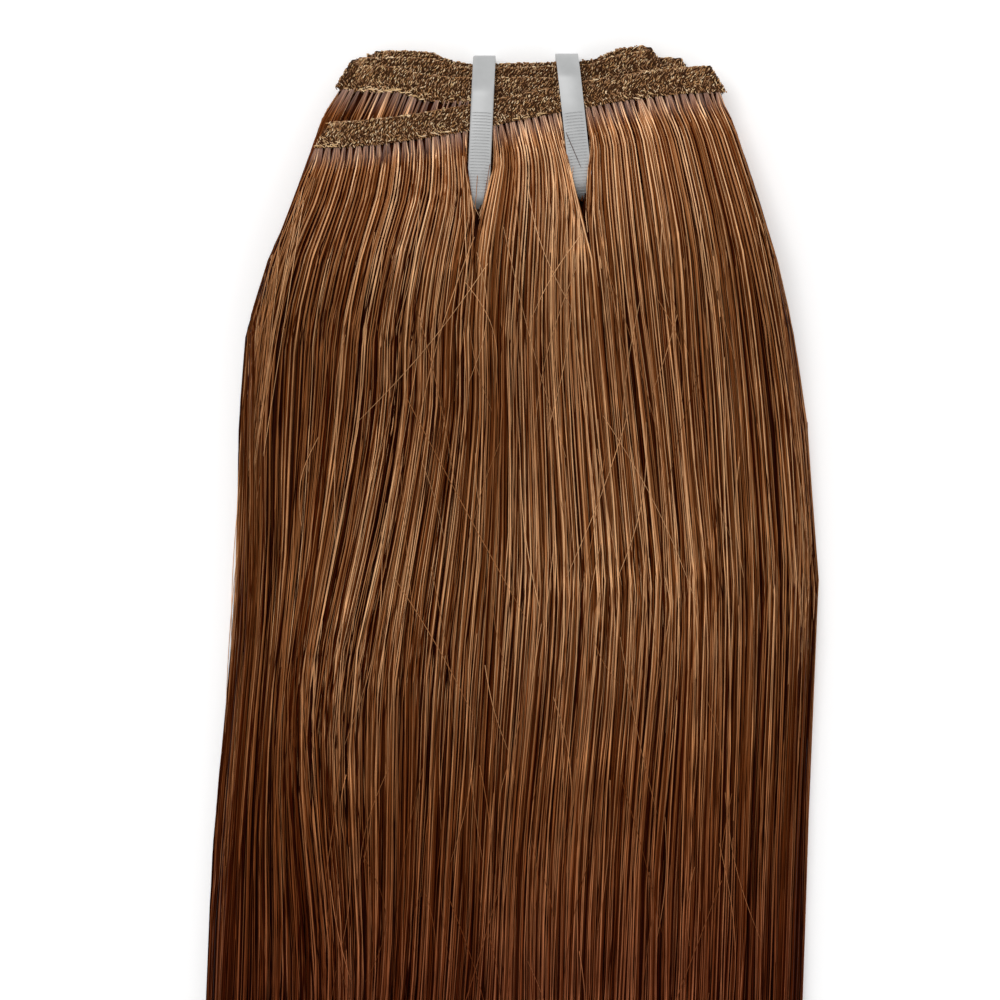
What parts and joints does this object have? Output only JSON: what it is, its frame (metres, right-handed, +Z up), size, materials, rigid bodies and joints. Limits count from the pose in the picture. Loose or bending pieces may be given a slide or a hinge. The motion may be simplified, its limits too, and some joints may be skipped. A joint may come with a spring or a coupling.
{
  "type": "hair extension bundle",
  "caption": "Bundle of straight brown hair on a sewn weft that is folded back and forth into a flat stack and held together by pale nylon cable ties.",
  "frame": {"origin": "middle of the bundle's box, on the surface it lies on", "axes": "+Z up from the surface, +Y along the hair towards the folded weft, +X across the bundle"},
  "size_m": [0.1178, 0.4, 0.0168],
  "materials": {
    "weft": "sewn hair and thread, matte",
    "hair": "straight brown hair, silky",
    "nylon": "natural nylon, translucent, satin"
  },
  "bodies": {
    "root": {"weft_band": "weft", "hair_layer_1": "hair", "hair_layer_2": "hair", "hair_layer_3": "hair", "hair_layer_4": "hair", "hair_layer_5": "hair", "hair_layer_6": "hair", "cable_tie_left": "nylon", "cable_tie_right": "nylon"}
  },
  "joints": []
}
